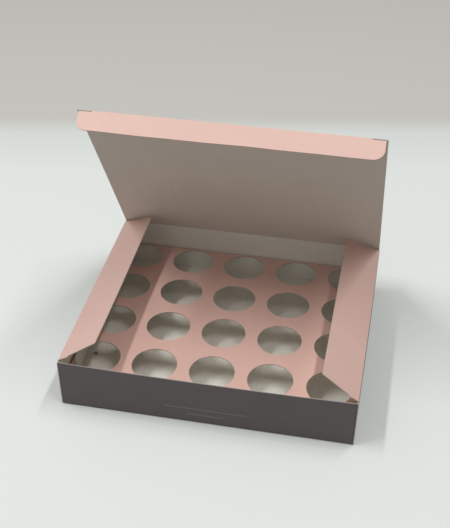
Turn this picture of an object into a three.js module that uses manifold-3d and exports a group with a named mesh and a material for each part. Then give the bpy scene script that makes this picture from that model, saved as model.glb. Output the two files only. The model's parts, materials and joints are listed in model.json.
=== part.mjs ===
// Tuck-top carton for small sweets, in millimetres.
// One printed sheet is folded into a low tray with a hinged lid, a tuck flap and two dust flaps.
// A second sheet stands in the tray as a platform with a grid of round holes.
// +X runs along the front, +Y to the back and +Z up. The origin is the middle of the floor's underside.

import * as THREE from 'three';
import { mergeVertices } from 'three/addons/utils/BufferGeometryUtils.js';
import Module from 'manifold-3d';

// Tray
const boxWidth = 200;
const boxDepth = 170;
const wallHeight = 37;
const board = 0.6;
const foldRadius = 0.4;
const creaseGap = 0.3;

// Glued corner tabs, inside the side walls
const tabLength = 16;
const tabTaper = 2.5;
const cornerNotch = 0.6;

// Lid and tuck flap
const lidOpening = 59;
const lidSideInset = 0.5;
const tuckDepth = 14.5;
const tuckFold = 90;
const tuckWallGap = 1;
const tuckSideGap = 0.5;
const tuckCornerRadius = 8;
const slitLength = 9.5;
const slitGap = 0.3;

// Dust flaps
const flapReach = 28.3;
const flapRaise = 30;
const flapFrontGap = 0.6;
const flapRearGap = 1;
const shoulderReach = 7;
const notchWidth = 2.2;
const notchDepth = 1.6;
const flapFrontTaper = 5.6;
const flapRearTaper = 9.8;
const flapCornerRadius = 1.2;

// Platform for the sweets
const platformHeight = 18.5;
const platformGap = 0.5;
const legRelief = 4;
const legTaper = 3;
const holeRadius = 15.3;
const holeColumns = 5;
const holeRows = 4;
const holePitchX = 40.2;
const holePitchY = 40.7;
const gridShiftX = -1.2;
const gridShiftY = 5.5;

// Smoothness of round stretches
const foldSegments = 6;
const holeSegments = 40;

// Corner points of a geometry that lie closer than this are one point
const mergeDistance = 1e-4;

// Levels and creases that follow from the sizes above
const outerFold = foldRadius + board;
const halfWidth = boxWidth / 2;
const halfDepth = boxDepth / 2;
const sideWallTop = wallHeight - board - creaseGap;
const flapPivotX = halfWidth - board / 2;
const flapPivotZ = wallHeight - board / 2;
const lidPivotY = halfDepth - board / 2;
const lidPivotZ = wallHeight + creaseGap + board / 2;
const innerHalfWidth = halfWidth - 2 * board;
const innerHalfDepth = halfDepth - board;
const lidHalfWidth = halfWidth - lidSideInset;
const tuckCrease = lidPivotY + innerHalfDepth - tuckWallGap - board / 2;

const paint = {
  charcoal: { color: 0x4e4949, roughness: 0.55, metalness: 0 },
  pink: { color: 0xebc6bc, roughness: 0.6, metalness: 0 },
};

const wasm = await Module();
wasm.setup();

// A solid from one closed geometry
function solid(geometry) {
  const bare = geometry.index ? geometry.toNonIndexed() : geometry.clone();
  bare.deleteAttribute('normal');
  bare.deleteAttribute('uv');
  const merged = mergeVertices(bare, mergeDistance);
  const vertProperties = new Float32Array(merged.attributes.position.array);
  const triVerts = new Uint32Array(merged.index.array);
  return new wasm.Manifold(new wasm.Mesh({ numProp: 3, vertProperties, triVerts }));
}

function join(...solids) {
  return solids.reduce((sum, next) => sum.add(next));
}

function named(name, shape, look) {
  const { vertProperties, triVerts } = shape.getMesh();
  const geometry = new THREE.BufferGeometry();
  geometry.setAttribute('position', new THREE.BufferAttribute(vertProperties, 3));
  geometry.setIndex(new THREE.BufferAttribute(triVerts, 1));
  geometry.computeVertexNormals();
  const mesh = new THREE.Mesh(geometry, new THREE.MeshStandardMaterial(look));
  mesh.name = name;
  return mesh;
}

function extrude(shape, length, segments = foldSegments) {
  return new THREE.ExtrudeGeometry(shape, { depth: length, bevelEnabled: false, curveSegments: segments });
}

// Prisms of an outline that lies across one axis
function prismX(shapeYZ, from, to) {
  const geometry = extrude(shapeYZ, to - from);
  const turn = new THREE.Matrix4().makeBasis(
    new THREE.Vector3(0, 1, 0), new THREE.Vector3(0, 0, 1), new THREE.Vector3(1, 0, 0));
  return solid(geometry.applyMatrix4(turn.setPosition(from, 0, 0)));
}

function prismY(shapeXZ, from, to) {
  const geometry = extrude(shapeXZ, to - from);
  const turn = new THREE.Matrix4().makeRotationX(Math.PI / 2);
  return solid(geometry.applyMatrix4(turn.setPosition(0, to, 0)));
}

function prismZ(shapeXY, from, to, segments) {
  const geometry = extrude(shapeXY, to - from, segments);
  return solid(geometry.translate(0, 0, from));
}

function polygon(points) {
  return new THREE.Shape(points.map(([x, y]) => new THREE.Vector2(x, y)));
}

function rectangle(left, bottom, right, top) {
  return polygon([[left, bottom], [right, bottom], [right, top], [left, top]]);
}

// Section of a sheet folded into a U: two walls of one height on a base, round at both folds
function foldedSection(half, base, top) {
  const up = Math.sign(top - base);
  const inner = half - board;
  const bend = base + up * outerFold;
  const quarter = up * Math.PI / 2;
  const section = new THREE.Shape();
  section.moveTo(-half, top);
  section.lineTo(-half, bend);
  section.absarc(-half + outerFold, bend, outerFold, Math.PI, Math.PI + quarter, up < 0);
  section.lineTo(half - outerFold, base);
  section.absarc(half - outerFold, bend, outerFold, -quarter, 0, up < 0);
  section.lineTo(half, top);
  section.lineTo(inner, top);
  section.lineTo(inner, bend);
  section.absarc(half - outerFold, bend, foldRadius, 0, -quarter, up > 0);
  section.lineTo(-half + outerFold, base + up * board);
  section.absarc(-half + outerFold, bend, foldRadius, Math.PI + quarter, Math.PI, up > 0);
  section.lineTo(-inner, top);
  section.closePath();
  return section;
}

// Corner folds and glued tabs at the front (end -1) or the back (end 1), seen from above as a U
// with the wall between them. The tabs taper towards their ends and stay below the dust flaps.
function tabbedWall(end) {
  const half = halfWidth - board;
  const low = outerFold + cornerNotch;
  const face = end * halfDepth;
  const shoulder = end * (halfDepth - outerFold);
  const tip = end * (halfDepth - outerFold - tabLength);
  const wall = prismZ(foldedSection(half, face, tip), low, wallHeight);
  const sideView = polygon([
    [face, low], [shoulder, low], [tip, low + tabTaper],
    [tip, sideWallTop - tabTaper], [shoulder, sideWallTop], [shoulder, wallHeight], [face, wallHeight],
  ]);
  return wall.intersect(prismX(sideView, -half, half));
}

// Floor and four walls, folded from one sheet and glued at the corner tabs.
// The folds stop short of each lower corner, which leaves the small notch that such a sheet has.
function tray() {
  const foldEndX = halfWidth - board - outerFold;
  const foldEndY = halfDepth - outerFold;
  const frontToBack = prismX(foldedSection(halfDepth, 0, wallHeight), -foldEndX, foldEndX);
  const sideToSide = prismY(foldedSection(halfWidth, 0, sideWallTop), -foldEndY, foldEndY);
  const inner = halfWidth - board;
  const leftWall = prismY(rectangle(-halfWidth, outerFold, -inner, sideWallTop), -halfDepth, halfDepth);
  const rightWall = prismY(rectangle(inner, outerFold, halfWidth, sideWallTop), -halfDepth, halfDepth);
  return join(frontToBack, sideToSide, leftWall, rightWall, tabbedWall(-1), tabbedWall(1));
}

function circle(x, y, radius) {
  return new THREE.Shape().absarc(x, y, radius, 0, 2 * Math.PI, false);
}

// Lid panel, drawn shut: the back crease is at the origin and the panel runs towards -Y.
// Beside the tuck flap's crease the panel goes on as two short ears, which lie past the slits.
function lidPanel() {
  const edge = -tuckCrease + board / 2 + creaseGap;
  const earTip = -tuckCrease - board / 2;
  const ear = lidHalfWidth - slitLength;
  const outline = polygon([
    [-lidHalfWidth, 0], [-lidHalfWidth, earTip], [-ear, earTip], [-ear, edge],
    [ear, edge], [ear, earTip], [lidHalfWidth, earTip], [lidHalfWidth, 0],
  ]);
  const panel = prismZ(outline, -board / 2, board / 2);
  const creaseBead = prismX(circle(0, 0, board / 2), -lidHalfWidth, lidHalfWidth);
  return join(panel, creaseBead);
}

// Tuck flap, drawn in line with the lid: its crease is at the origin and it runs towards -Y
function tuckFlap() {
  const half = innerHalfWidth - tuckSideGap;
  const root = lidHalfWidth - slitLength - slitGap;
  const slitEdge = -(board / Math.SQRT2 + slitGap);
  const tip = -tuckDepth;
  const radius = tuckCornerRadius;
  const outline = new THREE.Shape();
  outline.moveTo(-root, 0);
  outline.lineTo(-root, slitEdge);
  outline.lineTo(-half, slitEdge);
  outline.lineTo(-half, tip + radius);
  outline.absarc(-half + radius, tip + radius, radius, Math.PI, Math.PI * 1.5, false);
  outline.lineTo(half - radius, tip);
  outline.absarc(half - radius, tip + radius, radius, -Math.PI / 2, 0, false);
  outline.lineTo(half, slitEdge);
  outline.lineTo(root, slitEdge);
  outline.lineTo(root, 0);
  outline.closePath();
  const creaseBead = prismX(circle(0, 0, board / 2), -root, root);
  return join(prismZ(outline, -board / 2, board / 2), creaseBead);
}

// Dust flap, drawn shut: its crease is at x = 0 and it runs inwards, to +X on the left side.
// The square shoulder at the front catches in the lid's slit, and the notch behind it is the lock.
function dustFlap(side) {
  const front = tuckCrease - lidPivotY - board / 2 - flapFrontGap;
  const rear = innerHalfDepth - flapRearGap;
  const notchEnd = shoulderReach + notchWidth;
  const notchBend = shoulderReach + notchWidth / 4;
  const notchFloor = -front + notchDepth;
  const frontEdge = -front + flapFrontTaper;
  const rearEdge = rear - flapRearTaper;
  const radius = flapCornerRadius;
  const rearRise = radius / 3;
  const outline = new THREE.Shape();
  outline.moveTo(0, -front);
  outline.lineTo(side * shoulderReach, -front);
  outline.quadraticCurveTo(side * notchBend, notchFloor, side * notchEnd, notchFloor);
  outline.lineTo(side * (flapReach - radius), frontEdge);
  outline.quadraticCurveTo(side * flapReach, frontEdge, side * flapReach, frontEdge + radius);
  outline.lineTo(side * flapReach, rearEdge - radius);
  outline.quadraticCurveTo(side * flapReach, rearEdge, side * (flapReach - radius), rearEdge + rearRise);
  outline.lineTo(0, rear);
  outline.closePath();
  const creaseBead = prismY(circle(0, 0, board / 2), -front, rear);
  return join(prismZ(outline, -board / 2, board / 2), creaseBead);
}

// Middle of each hole in the platform, column by column
function holeCentres() {
  const centres = [];
  for (let column = 0; column < holeColumns; column += 1) {
    for (let row = 0; row < holeRows; row += 1) {
      centres.push([
        gridShiftX + (column - (holeColumns - 1) / 2) * holePitchX,
        gridShiftY + (row - (holeRows - 1) / 2) * holePitchY,
      ]);
    }
  }
  return centres;
}

// Side view of a folded-down leg, with slanted ends
function legView(half, foot, top) {
  return polygon([[-half + legTaper, foot], [half - legTaper, foot], [half, top], [-half, top]]);
}

// Platform with punched holes and four folded legs that stand on the floor
function sweetPlatform() {
  const halfX = innerHalfWidth - platformGap;
  const halfY = innerHalfDepth - platformGap;
  const foot = board;
  const acrossX = halfX - legRelief;
  const acrossY = halfY - legRelief;
  const frontLegs = prismX(foldedSection(halfY, platformHeight, foot), -acrossX, acrossX)
    .intersect(prismY(legView(acrossX, foot, platformHeight), -halfY, halfY));
  const sideLegs = prismY(foldedSection(halfX, platformHeight, foot), -acrossY, acrossY)
    .intersect(prismX(legView(acrossY, foot, platformHeight), -halfX, halfX));
  const cutLow = platformHeight - 2 * board;
  const cutHigh = platformHeight + board;
  const holes = holeCentres().map(([x, y]) => {
    return prismZ(circle(x, y, holeRadius), cutLow, cutHigh, holeSegments / 2);
  });
  return join(frontLegs, sideLegs).subtract(join(...holes));
}

// Everything in place, with the lid open and the tuck flap folded over
const box = new THREE.Group();
box.add(named('box_tray', tray(), paint.charcoal));
box.add(named('sweet_platform', sweetPlatform(), paint.pink));

for (const [name, side] of [['left_dust_flap', 1], ['right_dust_flap', -1]]) {
  const flap = named(name, dustFlap(side), paint.pink);
  flap.position.set(-side * flapPivotX, 0, flapPivotZ);
  flap.rotation.y = -side * THREE.MathUtils.degToRad(flapRaise);
  box.add(flap);
}

const lid = new THREE.Group();
lid.position.set(0, lidPivotY, lidPivotZ);
lid.rotation.x = -THREE.MathUtils.degToRad(lidOpening);
lid.add(named('lid_panel', lidPanel(), paint.charcoal));

const tuck = named('tuck_flap', tuckFlap(), paint.pink);
tuck.position.set(0, -tuckCrease, 0);
tuck.rotation.x = THREE.MathUtils.degToRad(tuckFold);
lid.add(tuck);
box.add(lid);

export default box;
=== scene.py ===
import json
import math

import bmesh
import bpy
import numpy as np
from mathutils import Matrix, Vector


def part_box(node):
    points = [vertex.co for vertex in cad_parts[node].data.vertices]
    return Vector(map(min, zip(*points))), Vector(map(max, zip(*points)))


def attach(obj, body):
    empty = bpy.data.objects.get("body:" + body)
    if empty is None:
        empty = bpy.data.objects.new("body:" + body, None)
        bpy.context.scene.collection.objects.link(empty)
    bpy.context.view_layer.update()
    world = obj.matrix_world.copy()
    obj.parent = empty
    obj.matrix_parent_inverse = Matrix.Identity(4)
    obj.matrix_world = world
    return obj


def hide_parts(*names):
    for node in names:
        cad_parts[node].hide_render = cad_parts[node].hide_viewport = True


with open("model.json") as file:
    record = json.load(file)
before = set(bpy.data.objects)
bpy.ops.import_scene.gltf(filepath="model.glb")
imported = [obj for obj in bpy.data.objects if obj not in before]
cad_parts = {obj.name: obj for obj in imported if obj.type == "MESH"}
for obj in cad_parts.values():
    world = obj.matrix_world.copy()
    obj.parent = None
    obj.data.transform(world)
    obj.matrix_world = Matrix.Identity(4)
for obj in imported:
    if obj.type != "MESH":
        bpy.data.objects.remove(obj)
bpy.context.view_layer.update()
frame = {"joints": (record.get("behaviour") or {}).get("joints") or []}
joints = {joint["name"]: joint for joint in frame["joints"]}

# Board and folds, in metres
MM = 0.001
BOARD = 0.6 * MM
HALF_BOARD = BOARD / 2
FOLD = 0.4 * MM + HALF_BOARD
BEND = FOLD * math.pi / 2
BEND_STEPS = 6
TOUCH = 0.05 * MM
GLUE = 0.02 * MM
NEAR = 0.001 * MM

# Sizes that the frame holds
tray_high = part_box("box_tray")[1]
plate_low, plate_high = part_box("sweet_platform")
flap_low, flap_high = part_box("left_dust_flap")
HALF_W = tray_high.x
HALF_D = tray_high.y
WALL_TOP = tray_high.z
LID_PIVOT = Vector(joints["lid_hinge"]["pos_m"])
TUCK_PIVOT = Vector(joints["tuck_hinge"]["pos_m"])
FLAP_PIVOT = Vector(joints["right_flap_hinge"]["pos_m"])
LID_LENGTH = (TUCK_PIVOT - LID_PIVOT).length
LID_ANGLE = math.atan2(TUCK_PIVOT.z - LID_PIVOT.z, LID_PIVOT.y - TUCK_PIVOT.y)
SIDE_TOP = FLAP_PIVOT.z - HALF_BOARD - TOUCH

# Tray: corner tabs, slight bows of the walls and the worn print along the side creases
TAB_LENGTH = 16 * MM
TAB_TAPER = 2.5 * MM
CORNER_NOTCH = 0.1 * MM
CORNER_SLIT = 0.05 * MM
FRONT_BOW = 1.3 * MM
BACK_BOW = 0.2 * FRONT_BOW
BOW_GROWTH = 1.5
SIDE_BOW = 0.35 * MM
SIDE_LEAN = 0.0055
WORN_CREASE = 0.5 * MM
SIDE_FACE_DEPTH = BOARD / 3

# Platform: legs, holes and an arch between front and back
LEG_RELIEF = 4 * MM
LEG_TAPER = 3 * MM
HOLE_RADIUS = 15.6 * MM
HOLE_PITCH = (40.2 * MM, 40.7 * MM)
HOLE_COUNT = (5, 4)
HOLE_SIDES = 72
GRID_SHIFT = (-1.2 * MM, 5.5 * MM)
ARCH_RISE = 3.1 * MM
ARCH_DROP = 1.2 * MM
ARCH_MIDDLE = -8 * MM
ARCH_HALF = 92 * MM

# Crease edge of a panel that turns: angles at which its round edge is cut
BEAD_ANGLES = (4, 25, 45, 65, 90)
BEAD_EDGE = 0.02 * MM
CROWN = HALF_BOARD * 0.998

# Lid and tuck flap with the slit locks between them
LID_INSET = 0.5 * MM
LID_SAG = 0.5 * MM
LID_SAG_EDGE = 0.6
LID_RIPPLE = 0.12 * MM
LID_RIPPLE_STEP = 31 * MM
TUCK_DEPTH = 14.5 * MM
TUCK_RADIUS = 7 * MM
TUCK_CORNER_SIDES = 12
TUCK_WAVES = ((0.22 * MM, 17 * MM, 0.6), (0.16 * MM, 7.5 * MM, 0.0))
SLIT = 9.5 * MM
SLIT_GAP = 0.3 * MM

# Dust flaps, drawn for the left one
FLAP_REACH = 28.3 * MM
FLAP_RAISE = math.radians(30)
SHOULDER = 7 * MM
NOTCH_WIDTH = 2.2 * MM
NOTCH_DEPTH = 1.6 * MM
NOTCH_SIDES = 6
FLAP_FRONT_TAPER = 5.6 * MM
FLAP_REAR_TAPER = 9.8 * MM
FLAP_CORNER = 1.2 * MM
FLAP_CORNER_SIDES = 5
FLAP_SAG = 0.35 * MM
FLAP_RIPPLE = 0.1 * MM
FLAP_RIPPLE_STEP = 23 * MM

# Mesh
CELL = 4 * MM
CUT_TOLERANCE = 1e-7
MERGE_DISTANCE = 1e-6
EDGE_SOFTNESS = 0.09 * MM
EDGE_SEGMENTS = 2
EDGE_ANGLE = math.radians(50)
PRINT_FACE, PALE_FACE, CUT_FACE = 0, 1, 2

# Camera
CAMERA_PLACE = Vector((0.11055, -0.56943, 0.50626))
CAMERA_AZIMUTH = math.radians(11.29)
CAMERA_ELEVATION = math.radians(36.89)
CAMERA_LENS = 71.46
SENSOR_WIDTH = 36
CAMERA_CLIP = 0.01

# Light
LAMP_WIDTH = 0.09
LEFT_LAMP = {"place": (-0.726, -0.25, 1.6), "length": 0.9, "power": 11.8}
RIGHT_LAMP = {"place": (0.478, 0.03, 1.6), "length": 1.3, "power": 11.2}
ROOM_LEFT = 0.56
ROOM_RIGHT = 0.20
ROOM_SEEN = 0.8
ROOM_COLOUR = (1.0, 0.995, 0.985)

# Table, which turns into the backdrop between two distances from the box
FLOOR_SIZE = 60.0
FLOOR_DROP = 0.2 * MM
TABLE_ROUGHNESS = 0.75
TABLE_BOUNCE = 0.44
BACKDROP_START = 0.235
BACKDROP_END = 0.335
BACKDROP_STOPS = ((0.35, 0.95), (0.72, 0.9))

# Colours, linear
PINK = (0.77, 0.515, 0.447)
# The platform's pink print, darker than the tuck's: painted shade.
PLATFORM_SHADED_PINK = (0.72, 0.462, 0.398)
# The dust flaps use the pink print darkened by this factor: painted shade.
FLAP_SHADE_TONE = 0.9
CHARCOAL = (0.146, 0.128, 0.130)
PALE = (0.78, 0.75, 0.68)
# The lid's inner face is the pale board made darker and pinker: painted shade and painted pink reflected
# light.
LID_INSIDE_SHADED = (0.72, 0.65, 0.58)
ORNAMENT = (0.30, 0.28, 0.28)
HOLE_SHADE = (0.13, 0.085, 0.07)
EDGE = (0.50, 0.47, 0.43)
TRAY_EDGE = (0.36, 0.33, 0.31)
TABLE = (0.765, 0.795, 0.765)
# The backdrop is the pale table greyed on the flat floor: painted shade of an upright backdrop.
BACKDROP = (0.58, 0.565, 0.53)

# Surfaces: how much the short fibres and the cloudy tone show
PINK_PRINT = {"roughness": 0.5, "fibre": 0.03, "mottle": 0.015}
CHARCOAL_PRINT = {"roughness": 0.5, "fibre": 0.05, "mottle": 0.015}
BARE_BOARD = {"roughness": 0.75, "fibre": 0.07, "mottle": 0.02}
CUT_BOARD = {"roughness": 0.8, "fibre": 0.12, "mottle": 0.03, "grain_scale": 2500.0}
CLOUD_SCALE = 38.0
CLOUD_DETAIL = 5.0
CLOUD_SPAN = (0.3, 0.7)
FIBRE_SCALE = 900.0
FIBRE_DETAIL = 6.0
FIBRE_STRETCH = (1, 0.35, 1)
FIBRE_SPAN = (0.35, 0.65)
GRAIN_STRENGTH = 0.25
GRAIN_DEPTH = 0.06 * MM
BOARD_SPECULAR = 0.35

# Small round dark spot on the tray's floor: painted shade, standing in for a small hole in the floor
SPOT_PLACE = (-91.9 * MM, -32.1 * MM, BOARD)
SPOT_INNER = 1.0 * MM
SPOT_OUTER = 2.6 * MM
SPOT_COVER = 0.7

# Plain dotted rules on the front wall: middle, height and half length
DOT_PITCH = 1.5 * MM
DOT_RADIUS = 0.5 * MM
RULES = ((-0.2 * MM, 12.3 * MM, 27.4 * MM), (-0.2 * MM, 7.2 * MM, 12.5 * MM))

# Sockets of a mix node: first value, second value and result
MIX_SOCKETS = {"FLOAT": (2, 3, 0), "RGBA": (6, 7, 2)}


# Materials
def new_material(name):
    material = bpy.data.materials.new(name)
    material.use_nodes = True
    tree = material.node_tree
    return material, tree, tree.nodes["Principled BSDF"]


def feed(tree, socket, value):
    """Links the socket where the value is a socket too, and sets it otherwise."""
    if isinstance(value, bpy.types.NodeSocket):
        tree.links.new(value, socket)
    else:
        socket.default_value = value


def node(tree, kind, **inputs):
    made = tree.nodes.new(kind)
    for key, value in inputs.items():
        feed(tree, made.inputs[key.replace("_", " ")], value)
    return made


def calculate(tree, operation, *values):
    made = tree.nodes.new("ShaderNodeMath")
    made.operation = operation
    for socket, value in zip(made.inputs, values):
        feed(tree, socket, value)
    return made.outputs["Value"]


def mix(tree, factor, first, second, data_type="RGBA", blend="MIX"):
    made = tree.nodes.new("ShaderNodeMix")
    made.data_type = data_type
    made.blend_type = blend
    first_socket, second_socket, result = MIX_SOCKETS[data_type]
    feed(tree, made.inputs["Factor"], factor)
    feed(tree, made.inputs[first_socket], first)
    feed(tree, made.inputs[second_socket], second)
    return made.outputs[result]


def coordinates(tree, kind="Object"):
    return tree.nodes.new("ShaderNodeTexCoord").outputs[kind]


def axes(tree, kind="Object"):
    return node(tree, "ShaderNodeSeparateXYZ", Vector=coordinates(tree, kind)).outputs


def noise(tree, scale, detail, stretch=(1, 1, 1)):
    size = node(tree, "ShaderNodeMapping", Vector=coordinates(tree), Scale=stretch)
    grain = node(tree, "ShaderNodeTexNoise", Vector=size.outputs["Vector"], Scale=scale, Detail=detail)
    return grain.outputs["Fac"]


def ramp(tree, source, span, low_colour, high_colour):
    made = node(tree, "ShaderNodeValToRGB", Fac=source)
    for stop, place, colour in zip(made.color_ramp.elements, span, (low_colour, high_colour)):
        stop.position = place
        stop.color = (*colour, 1)
    return made


def shade(colour, factor):
    return tuple(channel * factor for channel in colour)


def board_material(name, colour, roughness, fibre, mottle, grain_scale=FIBRE_SCALE):
    """Card with a cloudy tone, short fibres in the colour and a fine bump."""
    material, tree, shader = new_material(name)
    cloud = noise(tree, CLOUD_SCALE, CLOUD_DETAIL)
    tone = ramp(tree, cloud, CLOUD_SPAN, shade(colour, 1 - mottle), shade(colour, 1 + mottle))
    strands = noise(tree, grain_scale, FIBRE_DETAIL, FIBRE_STRETCH)
    fleck = ramp(tree, strands, FIBRE_SPAN, (1 - fibre,) * 3, (1, 1, 1))
    card = mix(tree, 1, tone.outputs["Color"], fleck.outputs["Color"], blend="MULTIPLY")
    bump = node(tree, "ShaderNodeBump", Strength=GRAIN_STRENGTH, Distance=GRAIN_DEPTH, Height=strands)
    tree.links.new(card, shader.inputs["Base Color"])
    tree.links.new(bump.outputs["Normal"], shader.inputs["Normal"])
    shader.inputs["Roughness"].default_value = roughness
    shader.inputs["Specular IOR Level"].default_value = BOARD_SPECULAR
    return material


def lay_over(material, cover, colour):
    """Lays a colour over the material's own one, as far as the cover says."""
    tree = material.node_tree
    base = tree.nodes["Principled BSDF"].inputs["Base Color"]
    own = base.links[0].from_socket
    tree.links.new(mix(tree, cover, own, (*colour, 1)), base)


def paint_hole_shade(material):
    """A small round dark spot with a soft rim: painted shade standing in for a small hole."""
    tree = material.node_tree
    reach = tree.nodes.new("ShaderNodeVectorMath")
    reach.operation = "DISTANCE"
    reach.inputs[1].default_value = SPOT_PLACE
    tree.links.new(coordinates(tree), reach.inputs[0])
    cover = node(
        tree, "ShaderNodeMapRange", Value=reach.outputs["Value"],
        From_Min=SPOT_INNER, From_Max=SPOT_OUTER, To_Min=SPOT_COVER, To_Max=0)
    lay_over(material, cover.outputs["Result"], HOLE_SHADE)


def add_dotted_rule(material, middle, height, half_length):
    """A row of small dots on the front wall."""
    tree = material.node_tree
    place = axes(tree)
    across = calculate(tree, "WRAP", place["X"], DOT_PITCH / 2, -DOT_PITCH / 2)
    above = calculate(tree, "SUBTRACT", place["Z"], height)
    square = calculate(
        tree, "ADD", calculate(tree, "MULTIPLY", across, across), calculate(tree, "MULTIPLY", above, above))
    dot = calculate(tree, "LESS_THAN", square, DOT_RADIUS ** 2)
    offset = calculate(tree, "ABSOLUTE", calculate(tree, "SUBTRACT", place["X"], middle))
    inside = calculate(tree, "LESS_THAN", offset, half_length)
    front = calculate(tree, "LESS_THAN", place["Y"], BOARD - HALF_D)
    cover = calculate(tree, "MULTIPLY", calculate(tree, "MULTIPLY", dot, inside), front)
    lay_over(material, cover, ORNAMENT)


# Flat sheet, folding and thickness
def arc(centre, radius, start, end, sides):
    angles = np.linspace(math.radians(start), math.radians(end), sides + 1)
    return [(centre[0] + radius * math.cos(a), centre[1] + radius * math.sin(a)) for a in angles]


def curve(start, control, end, sides):
    points = []
    for step in np.linspace(0, 1, sides + 1):
        weights = ((1 - step) ** 2, 2 * step * (1 - step), step ** 2)
        points.append(tuple(
            weights[0] * a + weights[1] * b + weights[2] * c for a, b, c in zip(start, control, end)))
    return points


def mirrored(back, front):
    """A closed outline from its quarter at the back and its quarter at the front, both mirrored."""
    outline = list(back) + [(-x, y) for x, y in reversed(back)]
    return outline + [(-x, -y) for x, y in front] + [(x, -y) for x, y in reversed(front)]


def flat_sheet(outline, holes=(), lines_x=(), lines_y=()):
    """A flat mesh of an outline with holes, cut along a grid and along the given lines."""
    mesh = bmesh.new()
    edges = []
    for loop in (outline, *holes):
        corners = [mesh.verts.new((x, y, 0)) for x, y in loop]
        edges += [mesh.edges.new((a, b)) for a, b in zip(corners, corners[1:] + corners[:1])]
    bmesh.ops.triangle_fill(mesh, use_beauty=True, use_dissolve=False, edges=edges, normal=(0, 0, 1))
    spans = np.array(outline)
    for axis, extra in ((0, lines_x), (1, lines_y)):
        low, high = spans[:, axis].min(), spans[:, axis].max()
        cuts = list(np.arange(math.ceil(low / CELL), math.floor(high / CELL) + 1) * CELL)
        cuts = [c for c in cuts if all(abs(c - e) > CELL / 4 for e in extra)] + list(extra)
        for cut in cuts:
            place = [0, 0, 0]
            normal = [0, 0, 0]
            place[axis] = cut
            normal[axis] = 1
            bmesh.ops.bisect_plane(
                mesh, geom=mesh.verts[:] + mesh.edges[:] + mesh.faces[:], dist=CUT_TOLERANCE,
                plane_co=place, plane_no=normal)
    bmesh.ops.remove_doubles(mesh, verts=mesh.verts, dist=MERGE_DISTANCE)
    for face in mesh.faces:
        if face.normal.z < 0:
            face.normal_flip()
    return mesh


def thicken(name, mesh, materials, outside_up=False, halves=None):
    """Turns a middle surface into card: print on one side, pale board on the other, cut edges."""
    mesh.normal_update()
    verts = list(mesh.verts)
    count = len(verts)
    for index, vert in enumerate(verts):
        vert.index = index
    halves = halves or [HALF_BOARD] * count
    normals = [vert.normal.copy() for vert in verts]
    top = [vert.co + normal * half for vert, normal, half in zip(verts, normals, halves)]
    low = [vert.co - normal * half for vert, normal, half in zip(verts, normals, halves)]
    faces = []
    kinds = []
    up_kind, low_kind = (PRINT_FACE, PALE_FACE) if outside_up else (PALE_FACE, PRINT_FACE)
    for face in mesh.faces:
        ring = [vert.index for vert in face.verts]
        faces.append(ring)
        kinds.append(up_kind)
        faces.append([index + count for index in reversed(ring)])
        kinds.append(low_kind)
    for edge in mesh.edges:
        if len(edge.link_faces) == 1:
            loop = next(side for side in edge.link_faces[0].loops if side.edge == edge)
            a, b = loop.vert.index, loop.link_loop_next.vert.index
            faces.append([b, a, a + count, b + count])
            kinds.append(CUT_FACE)
    data = bpy.data.meshes.new(name)
    data.from_pydata([tuple(place) for place in top + low], [], faces)
    for material in materials:
        data.materials.append(material)
    data.polygons.foreach_set("material_index", kinds)
    data.update()
    mesh.free()
    piece = bpy.data.objects.new(name, data)
    bpy.context.scene.collection.objects.link(piece)
    soften(piece)
    return piece


def soften(piece):
    """A very small round on the cut edges, then smooth shading that keeps them crisp."""
    bevel = piece.modifiers.new("cut edges", "BEVEL")
    bevel.width = EDGE_SOFTNESS
    bevel.segments = EDGE_SEGMENTS
    bevel.limit_method = "ANGLE"
    bevel.angle_limit = EDGE_ANGLE
    piece.data.shade_smooth()
    weighted = piece.modifiers.new("even shading", "WEIGHTED_NORMAL")
    weighted.keep_sharp = True


def wrap(distance, flat):
    """How far out and how far up a point lies on a sheet that is folded up after a flat stretch."""
    if distance <= flat:
        return distance, 0.0
    if distance <= flat + BEND:
        angle = (distance - flat) / FOLD
        return flat + FOLD * math.sin(angle), FOLD * (1 - math.cos(angle))
    return flat + FOLD, FOLD + distance - flat - BEND


def unwrapped(height, flat):
    """The distance along the sheet at which it reaches a height above its flat stretch."""
    return flat + BEND + height - FOLD


def bend_lines(flat):
    steps = [flat + BEND * k / BEND_STEPS for k in range(BEND_STEPS + 1)]
    return [sign * step for step in steps for sign in (-1, 1)]


def hollow(value, half):
    """1 in the middle of a span and 0 at its ends."""
    return max(0.0, 1 - (value / half) ** 2)


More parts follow.
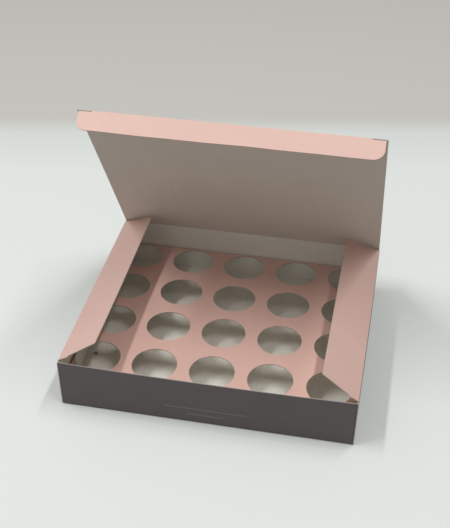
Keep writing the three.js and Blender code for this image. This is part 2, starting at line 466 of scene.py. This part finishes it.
def build_tray(materials):
    """One blank, folded up at the floor's edges and again at the corner tabs."""
    flat_x = HALF_W - HALF_BOARD - FOLD
    flat_y = HALF_D - HALF_BOARD - FOLD
    strip_end = HALF_W - CORNER_SLIT
    tab_flat = HALF_W - BOARD - GLUE - HALF_BOARD - FOLD
    tab_start = tab_flat + BEND
    tab_end = tab_start + TAB_LENGTH
    notch = FOLD + HALF_BOARD + CORNER_NOTCH
    front_top = unwrapped(WALL_TOP - HALF_BOARD, flat_y)
    back_top = unwrapped(LID_PIVOT.z - HALF_BOARD - TOUCH - HALF_BOARD, flat_y)
    side = unwrapped(SIDE_TOP - HALF_BOARD, flat_x)
    side_low = unwrapped(FOLD, flat_x)
    tab_top = unwrapped(SIDE_TOP - HALF_BOARD, flat_y)
    tab_low = unwrapped(notch - HALF_BOARD, flat_y)

    def corner(wall_top):
        return [
            (side, HALF_D), (side_low, HALF_D), (side_low, flat_y), (flat_x, flat_y),
            (strip_end, flat_y + CORNER_SLIT), (strip_end, tab_low - CORNER_SLIT), (tab_flat, tab_low),
            (tab_start, tab_low), (tab_end, tab_low + TAB_TAPER),
            (tab_end, tab_top - TAB_TAPER), (tab_start, tab_top), (tab_start, wall_top),
        ]

    worn = side - WORN_CREASE
    mesh = flat_sheet(
        mirrored(corner(back_top), corner(front_top)),
        lines_x=bend_lines(flat_x) + bend_lines(tab_flat) + [-worn, worn], lines_y=bend_lines(flat_y))
    for vert in mesh.verts:
        x, y = vert.co.x, vert.co.y
        side_x, side_y = math.copysign(1, x), math.copysign(1, y)
        far_x, far_y = abs(x), abs(y)
        in_wall = far_y > HALF_D + CORNER_SLIT or (far_y > flat_y + NEAR and far_x < HALF_W)
        if in_wall:
            out_y, up = wrap(far_y, flat_y)
            out_x, tuck = wrap(far_x, tab_flat) if far_y > tab_low - NEAR else (far_x, 0.0)
            rise = up / WALL_TOP
            bow = FRONT_BOW if y < 0 else BACK_BOW
            swell = bow * hollow(far_x, tab_start) * rise ** BOW_GROWTH if tuck == 0 else 0.0
            vert.co = (side_x * out_x, side_y * (out_y - tuck + swell), HALF_BOARD + up)
        else:
            out_x, up = wrap(far_x, flat_x)
            rise = up / WALL_TOP
            swell = SIDE_BOW * hollow(y, HALF_D) * math.sin(math.pi * min(rise, 1.0))
            vert.co = (side_x * (out_x + swell), y, HALF_BOARD + up)
        vert.co.x *= 1 - SIDE_LEAN * (1 - min(rise, 1.0))
    piece = thicken("tray", mesh, materials)
    for face in piece.data.polygons:
        on_side = abs(face.center.x) > HALF_W - SIDE_FACE_DEPTH
        by_crease = face.center.z > SIDE_TOP - WORN_CREASE
        if on_side and by_crease and face.material_index == PRINT_FACE:
            face.material_index = CUT_FACE
    return piece


def build_platform(materials):
    """A punched sheet with four folded legs."""
    half_x, half_y = plate_high.x, plate_high.y
    leg = plate_high.z - plate_low.z - HALF_BOARD
    flat_x = half_x - HALF_BOARD - FOLD
    flat_y = half_y - HALF_BOARD - FOLD
    foot_x = unwrapped(leg, flat_x)
    foot_y = unwrapped(leg, flat_y)
    in_x, in_y = half_x - LEG_RELIEF, half_y - LEG_RELIEF
    quarter = [
        (foot_x, in_y - LEG_TAPER), (flat_x, in_y), (in_x, in_y), (in_x, flat_y), (in_x - LEG_TAPER, foot_y),
    ]
    holes = []
    for column in range(HOLE_COUNT[0]):
        for row in range(HOLE_COUNT[1]):
            centre = (
                GRID_SHIFT[0] + (column - (HOLE_COUNT[0] - 1) / 2) * HOLE_PITCH[0],
                GRID_SHIFT[1] + (row - (HOLE_COUNT[1] - 1) / 2) * HOLE_PITCH[1])
            holes.append(arc(centre, HOLE_RADIUS, 0, 360, HOLE_SIDES)[:-1])
    mesh = flat_sheet(mirrored(quarter, quarter), holes, bend_lines(flat_x), bend_lines(flat_y))
    for vert in mesh.verts:
        x, y = vert.co.x, vert.co.y
        out_x, down_x = wrap(abs(x), flat_x)
        out_y, down_y = wrap(abs(y), flat_y)
        arch = ARCH_RISE * hollow(math.copysign(out_y, y) - ARCH_MIDDLE, ARCH_HALF) - ARCH_DROP
        down = max(down_x, down_y) / leg
        level = plate_high.z - HALF_BOARD + arch * (1 - down) - down * leg
        vert.co = (math.copysign(out_x, x), math.copysign(out_y, y), level)
    return thicken("platform", mesh, materials, outside_up=True)


# Panels that turn about a crease. Each is drawn flat, with its crease on the x axis and the panel
# towards -y. Near the crease the card rounds off to nothing, concentric with the crease.
def bead_half(y):
    if y <= 0:
        return HALF_BOARD
    return math.sqrt(max(HALF_BOARD ** 2 - y ** 2, BEAD_EDGE ** 2))


def build_panel(name, outline, materials, place, warp):
    bead_lines = [HALF_BOARD * math.cos(math.radians(angle)) for angle in BEAD_ANGLES]
    mesh = flat_sheet(outline, lines_y=bead_lines)
    halves = [bead_half(vert.co.y) for vert in mesh.verts]
    for vert in mesh.verts:
        vert.co.z = warp(vert.co.x, vert.co.y)
    piece = thicken(name, mesh, materials, outside_up=True, halves=halves)
    piece.data.transform(place)
    return piece


def build_lid(materials):
    half = HALF_W - LID_INSET
    edge = -(LID_LENGTH - HALF_BOARD - TOUCH)
    tip = -(LID_LENGTH + HALF_BOARD)
    ear = half - SLIT
    outline = [
        (half, CROWN), (-half, CROWN), (-half, tip), (-ear, tip),
        (-ear, edge), (ear, edge), (ear, tip), (half, tip),
    ]
    place = Matrix.Translation(LID_PIVOT) @ Matrix.Rotation(-LID_ANGLE, 4, "X")

    def warp(x, y):
        along = hollow(y + LID_LENGTH / 2, LID_LENGTH / 2)
        sag = LID_SAG * (LID_SAG_EDGE + (1 - LID_SAG_EDGE) * hollow(x, half))
        return (sag + LID_RIPPLE * math.sin(x / LID_RIPPLE_STEP)) * along

    return build_panel("lid", outline, materials, place, warp)


def build_tuck(materials, half):
    root = HALF_W - LID_INSET - SLIT - SLIT_GAP
    slit_edge = -(BOARD / math.sqrt(2) + SLIT_GAP)
    radius = TUCK_RADIUS
    outline = [(root, CROWN), (-root, CROWN), (-root, slit_edge), (-half, slit_edge)]
    outline += arc((-half + radius, -TUCK_DEPTH + radius), radius, 180, 270, TUCK_CORNER_SIDES)
    outline += arc((half - radius, -TUCK_DEPTH + radius), radius, 270, 360, TUCK_CORNER_SIDES)
    outline += [(half, slit_edge), (root, slit_edge)]
    place = Matrix.Translation(TUCK_PIVOT) @ Matrix.Rotation(math.pi / 2 - LID_ANGLE, 4, "X")

    def warp(x, y):
        out = min(1.0, max(0.0, -y / TUCK_DEPTH))
        return out ** 2 * sum(height * math.sin(x / step + start) for height, step, start in TUCK_WAVES)

    return build_panel("tuck", outline, materials, place, warp)


def build_flap(name, side, materials):
    """side is 1 for the left flap and -1 for the right one."""
    front, rear = flap_low.y, flap_high.y
    corner = FLAP_CORNER
    reach = FLAP_REACH
    notch = front + NOTCH_DEPTH
    slope = front + FLAP_FRONT_TAPER
    back = rear - FLAP_REAR_TAPER
    points = [(rear, -CROWN), (front, -CROWN)]
    points += curve(
        (front, SHOULDER), (notch, SHOULDER + NOTCH_WIDTH / 4), (notch, SHOULDER + NOTCH_WIDTH), NOTCH_SIDES)
    points += curve((slope, reach - corner), (slope, reach), (slope + corner, reach), FLAP_CORNER_SIDES)
    back_end = (back + corner / 3, reach - corner)
    points += curve((back - corner, reach), (back, reach), back_end, FLAP_CORNER_SIDES)
    outline = [(side * along, -out) for along, out in points]
    if side < 0:
        outline.reverse()
    turn = Matrix.Rotation(side * math.pi / 2, 4, "Z")
    tilt = Matrix.Rotation(-side * FLAP_RAISE, 4, "Y")
    place = Matrix.Translation((-side * FLAP_PIVOT.x, 0, FLAP_PIVOT.z)) @ tilt @ turn

    def warp(x, y):
        out = max(0.0, -y / reach)
        return FLAP_RIPPLE * math.sin(x / FLAP_RIPPLE_STEP) * out - FLAP_SAG * hollow(x, HALF_D) * out ** 2

    return build_panel(name, outline, materials, place, warp)


# Floor, backdrop, light and camera
def build_stage():
    """A pale table that turns into a greyer backdrop beyond the box, along the camera's heading; the grey is
    painted shade of an upright backdrop.

    The table throws less light back on the box than it shows the camera, as a small table does.
    """
    table, tree, shader = new_material("table")
    span = node(
        tree, "ShaderNodeMapRange", Value=axes(tree)["Y"], From_Min=BACKDROP_START, From_Max=BACKDROP_END)
    tones = ramp(tree, span.outputs["Result"], (0.0, 1.0), TABLE, BACKDROP)
    for stop, tone in BACKDROP_STOPS:
        tones.color_ramp.elements.new(stop).color = (*shade(TABLE, tone), 1)
    rays = tree.nodes.new("ShaderNodeLightPath").outputs
    seen = calculate(tree, "MAXIMUM", rays["Is Camera Ray"], rays["Is Glossy Ray"])
    seen = calculate(tree, "MAXIMUM", seen, rays["Is Transmission Ray"])
    shown = mix(tree, seen, (*shade(TABLE, TABLE_BOUNCE), 1), tones.outputs["Color"])
    tree.links.new(shown, shader.inputs["Base Color"])
    shader.inputs["Roughness"].default_value = TABLE_ROUGHNESS
    bpy.ops.mesh.primitive_plane_add(
        size=FLOOR_SIZE, location=(0, 0, -FLOOR_DROP), rotation=(0, 0, CAMERA_AZIMUTH))
    floor = bpy.context.object
    floor.name = "table_top"
    floor.data.materials.append(table)


def strip_lamp(name, lamp):
    """A lamp overhead, narrow from left to right and long from front to back, facing straight down."""
    data = bpy.data.lights.new(name, "AREA")
    data.shape = "RECTANGLE"
    data.size = LAMP_WIDTH
    data.size_y = lamp["length"]
    data.energy = lamp["power"]
    made = bpy.data.objects.new(name, data)
    made.location = lamp["place"]
    bpy.context.scene.collection.objects.link(made)


def build_light():
    """A room that is brighter on the left and evenly pale to the camera, and two strip lamps."""
    world = bpy.data.worlds.new("soft room")
    bpy.context.scene.world = world
    world.use_nodes = True
    tree = world.node_tree
    across = node(
        tree, "ShaderNodeMapRange", Value=axes(tree, "Generated")["X"],
        From_Min=-1, To_Min=ROOM_LEFT, To_Max=ROOM_RIGHT)
    seen = tree.nodes.new("ShaderNodeLightPath").outputs["Is Camera Ray"]
    strength = mix(tree, seen, across.outputs["Result"], ROOM_SEEN, data_type="FLOAT")
    tree.links.new(strength, tree.nodes["Background"].inputs["Strength"])
    tree.nodes["Background"].inputs["Color"].default_value = (*ROOM_COLOUR, 1)
    strip_lamp("left lamp", LEFT_LAMP)
    strip_lamp("right lamp", RIGHT_LAMP)


def build_camera():
    data = bpy.data.cameras.new("photo camera")
    data.sensor_width = SENSOR_WIDTH
    data.lens = CAMERA_LENS
    data.clip_start = CAMERA_CLIP
    camera = bpy.data.objects.new("photo camera", data)
    camera.location = CAMERA_PLACE
    camera.rotation_euler = (math.pi / 2 - CAMERA_ELEVATION, 0, CAMERA_AZIMUTH)
    bpy.context.scene.collection.objects.link(camera)
    bpy.context.scene.camera = camera


# The scene
bpy.context.scene.view_settings.view_transform = "Standard"
build_camera()
build_light()
build_stage()

pink = board_material("pink_print", PINK, **PINK_PRINT)
# Pink print darkened for the dust flaps: painted shade.
flap_shaded_pink = board_material("flap_pink_print", shade(PINK, FLAP_SHADE_TONE), **PINK_PRINT)
# Pink print darkened for the platform: painted shade.
platform_shaded_pink = board_material("platform_pink_print", PLATFORM_SHADED_PINK, **PINK_PRINT)
charcoal = board_material("charcoal_print", CHARCOAL, **CHARCOAL_PRINT)
tray_print = board_material("tray_print", CHARCOAL, **CHARCOAL_PRINT)
for rule in RULES:
    add_dotted_rule(tray_print, *rule)
pale = board_material("pale_board", PALE, **BARE_BOARD)
tray_inside = board_material("tray_inside", PALE, **BARE_BOARD)
# Painted shade of a small hole on the tray's floor.
paint_hole_shade(tray_inside)
# Pale board darkened and tinted pink for the lid's inside: painted shade and painted reflected light.
lid_inside_shaded = board_material("lid_inside_shaded", LID_INSIDE_SHADED, **BARE_BOARD)
cut = board_material("cut_edge", EDGE, **CUT_BOARD)
tray_cut = board_material("tray_cut_edge", TRAY_EDGE, **CUT_BOARD)

tray = build_tray((tray_print, tray_inside, tray_cut))
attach(tray, "tray")
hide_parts("box_tray")

platform = build_platform((platform_shaded_pink, pale, cut))
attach(platform, "tray")
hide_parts("sweet_platform")

lid = build_lid((charcoal, lid_inside_shaded, cut))
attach(lid, "lid")
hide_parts("lid_panel")

tuck = build_tuck((pink, pale, cut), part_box("tuck_flap")[1].x)
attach(tuck, "tuck")
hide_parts("tuck_flap")

for flap_name, body, node_name, flap_side in (
        ("left_flap_sheet", "left_flap", "left_dust_flap", 1),
        ("right_flap_sheet", "right_flap", "right_dust_flap", -1)):
    flap = build_flap(flap_name, flap_side, (flap_shaded_pink, pale, cut))
    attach(flap, body)
    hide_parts(node_name)
